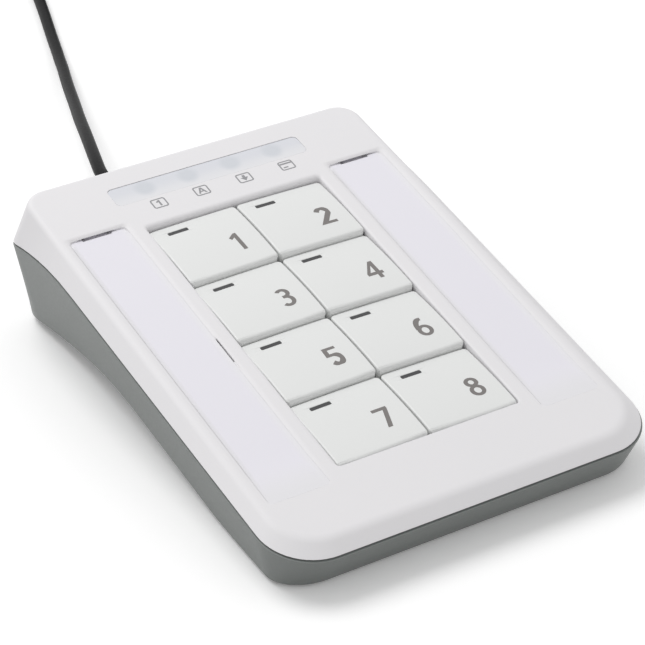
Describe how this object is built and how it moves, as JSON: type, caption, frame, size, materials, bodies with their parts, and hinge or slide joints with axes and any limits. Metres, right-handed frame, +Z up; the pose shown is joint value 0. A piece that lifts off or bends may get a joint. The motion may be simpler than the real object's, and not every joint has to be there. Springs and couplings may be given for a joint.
{
  "type": "numeric keypad",
  "caption": "Sloping desktop keypad with large numbered keys in two columns, a label pocket on each side, a row of indicator lamps and a cord ending in a USB plug.",
  "frame": {"origin": "on the desk under the middle of the case, measured without the cord and what is on it", "axes": "+X to the user's right, +Y away from the user (towards the cord), +Z up"},
  "size_m": [0.1414, 0.3059, 0.0321],
  "materials": {
    "white_abs": "satin",
    "grey_abs": "fine texture",
    "smoked_pc": "gloss",
    "light_pipe": "gloss",
    "clear_pc": "satin",
    "card": "matt",
    "natural_pom": "satin",
    "silicone": "matt",
    "board_laminate": "satin",
    "clear_epoxy": "gloss",
    "black_nylon": "satin",
    "led_body": "satin",
    "epoxy_black": "matt",
    "steel": "nickel plated",
    "ceramic_chip": "matt",
    "ivory_nylon": "satin",
    "lead_pvc": "satin",
    "black_pvc": "satin",
    "rubber": "matt",
    "tie_fabric": "woven",
    "white_pbt": "satin",
    "gold": "gold plated"
  },
  "bodies": {
    "case": {"top_cover": "white_abs", "bottom_cover": "grey_abs", "led_window": "smoked_pc", "label_card_left": "card", "label_card_right": "card", "key_guide": "natural_pom", "dome_sheet": "silicone", "circuit_board": "board_laminate", "indicator_leds": "clear_epoxy", "led_spacers": "black_nylon", "key_leds": "led_body", "controller_chip": "epoxy_black", "crystal": "steel", "small_parts": "ceramic_chip", "cord_header": "ivory_nylon", "cord_connector": "ivory_nylon", "inner_leads": "lead_pvc", "cord_inner": "black_pvc", "board_screws": "steel", "case_screws": "steel", "rubber_feet": "rubber", "strain_relief": "black_pvc", "cord": "black_pvc", "cord_coil": "black_pvc", "cord_tie": "tie_fabric", "plug_grip": "black_pvc", "plug_shell": "steel", "plug_tongue": "white_pbt", "plug_contacts": "gold"},
    "key_1": {"key_1": "white_abs", "key_1_light_bar": "light_pipe"},
    "key_2": {"key_2": "white_abs", "key_2_light_bar": "light_pipe"},
    "key_3": {"key_3": "white_abs", "key_3_light_bar": "light_pipe"},
    "key_4": {"key_4": "white_abs", "key_4_light_bar": "light_pipe"},
    "key_5": {"key_5": "white_abs", "key_5_light_bar": "light_pipe"},
    "key_6": {"key_6": "white_abs", "key_6_light_bar": "light_pipe"},
    "key_7": {"key_7": "white_abs", "key_7_light_bar": "light_pipe"},
    "key_8": {"key_8": "white_abs", "key_8_light_bar": "light_pipe"},
    "label_cover_left": {"label_cover_left": "clear_pc"},
    "label_cover_right": {"label_cover_right": "clear_pc"}
  },
  "joints": [
    {"name": "key_1_press", "type": "slide", "parent": "case", "child": "key_1", "axis": [0, 0.1805, -0.9836], "range_m": [0, 0.002], "stiffness_N_per_m": 300, "springref_m": -0.0008, "deforming": ["dome_sheet"]},
    {"name": "key_2_press", "type": "slide", "parent": "case", "child": "key_2", "axis": [0, 0.1805, -0.9836], "range_m": [0, 0.002], "stiffness_N_per_m": 300, "springref_m": -0.0008, "deforming": ["dome_sheet"]},
    {"name": "key_3_press", "type": "slide", "parent": "case", "child": "key_3", "axis": [0, 0.1805, -0.9836], "range_m": [0, 0.002], "stiffness_N_per_m": 300, "springref_m": -0.0008, "deforming": ["dome_sheet"]},
    {"name": "key_4_press", "type": "slide", "parent": "case", "child": "key_4", "axis": [0, 0.1805, -0.9836], "range_m": [0, 0.002], "stiffness_N_per_m": 300, "springref_m": -0.0008, "deforming": ["dome_sheet"]},
    {"name": "key_5_press", "type": "slide", "parent": "case", "child": "key_5", "axis": [0, 0.1805, -0.9836], "range_m": [0, 0.002], "stiffness_N_per_m": 300, "springref_m": -0.0008, "deforming": ["dome_sheet"]},
    {"name": "key_6_press", "type": "slide", "parent": "case", "child": "key_6", "axis": [0, 0.1805, -0.9836], "range_m": [0, 0.002], "stiffness_N_per_m": 300, "springref_m": -0.0008, "deforming": ["dome_sheet"]},
    {"name": "key_7_press", "type": "slide", "parent": "case", "child": "key_7", "axis": [0, 0.1805, -0.9836], "range_m": [0, 0.002], "stiffness_N_per_m": 300, "springref_m": -0.0008, "deforming": ["dome_sheet"]},
    {"name": "key_8_press", "type": "slide", "parent": "case", "child": "key_8", "axis": [0, 0.1805, -0.9836], "range_m": [0, 0.002], "stiffness_N_per_m": 300, "springref_m": -0.0008, "deforming": ["dome_sheet"]},
    {"name": "label_cover_left_tilt", "type": "hinge", "parent": "case", "child": "label_cover_left", "pos_m": [-0.0317, 0.03998, 0.02822], "axis": [-1, 0, 0], "range_deg": [0, 15]},
    {"name": "label_cover_right_tilt", "type": "hinge", "parent": "case", "child": "label_cover_right", "pos_m": [0.0317, 0.03998, 0.02822], "axis": [-1, 0, 0], "range_deg": [0, 15]}
  ]
}
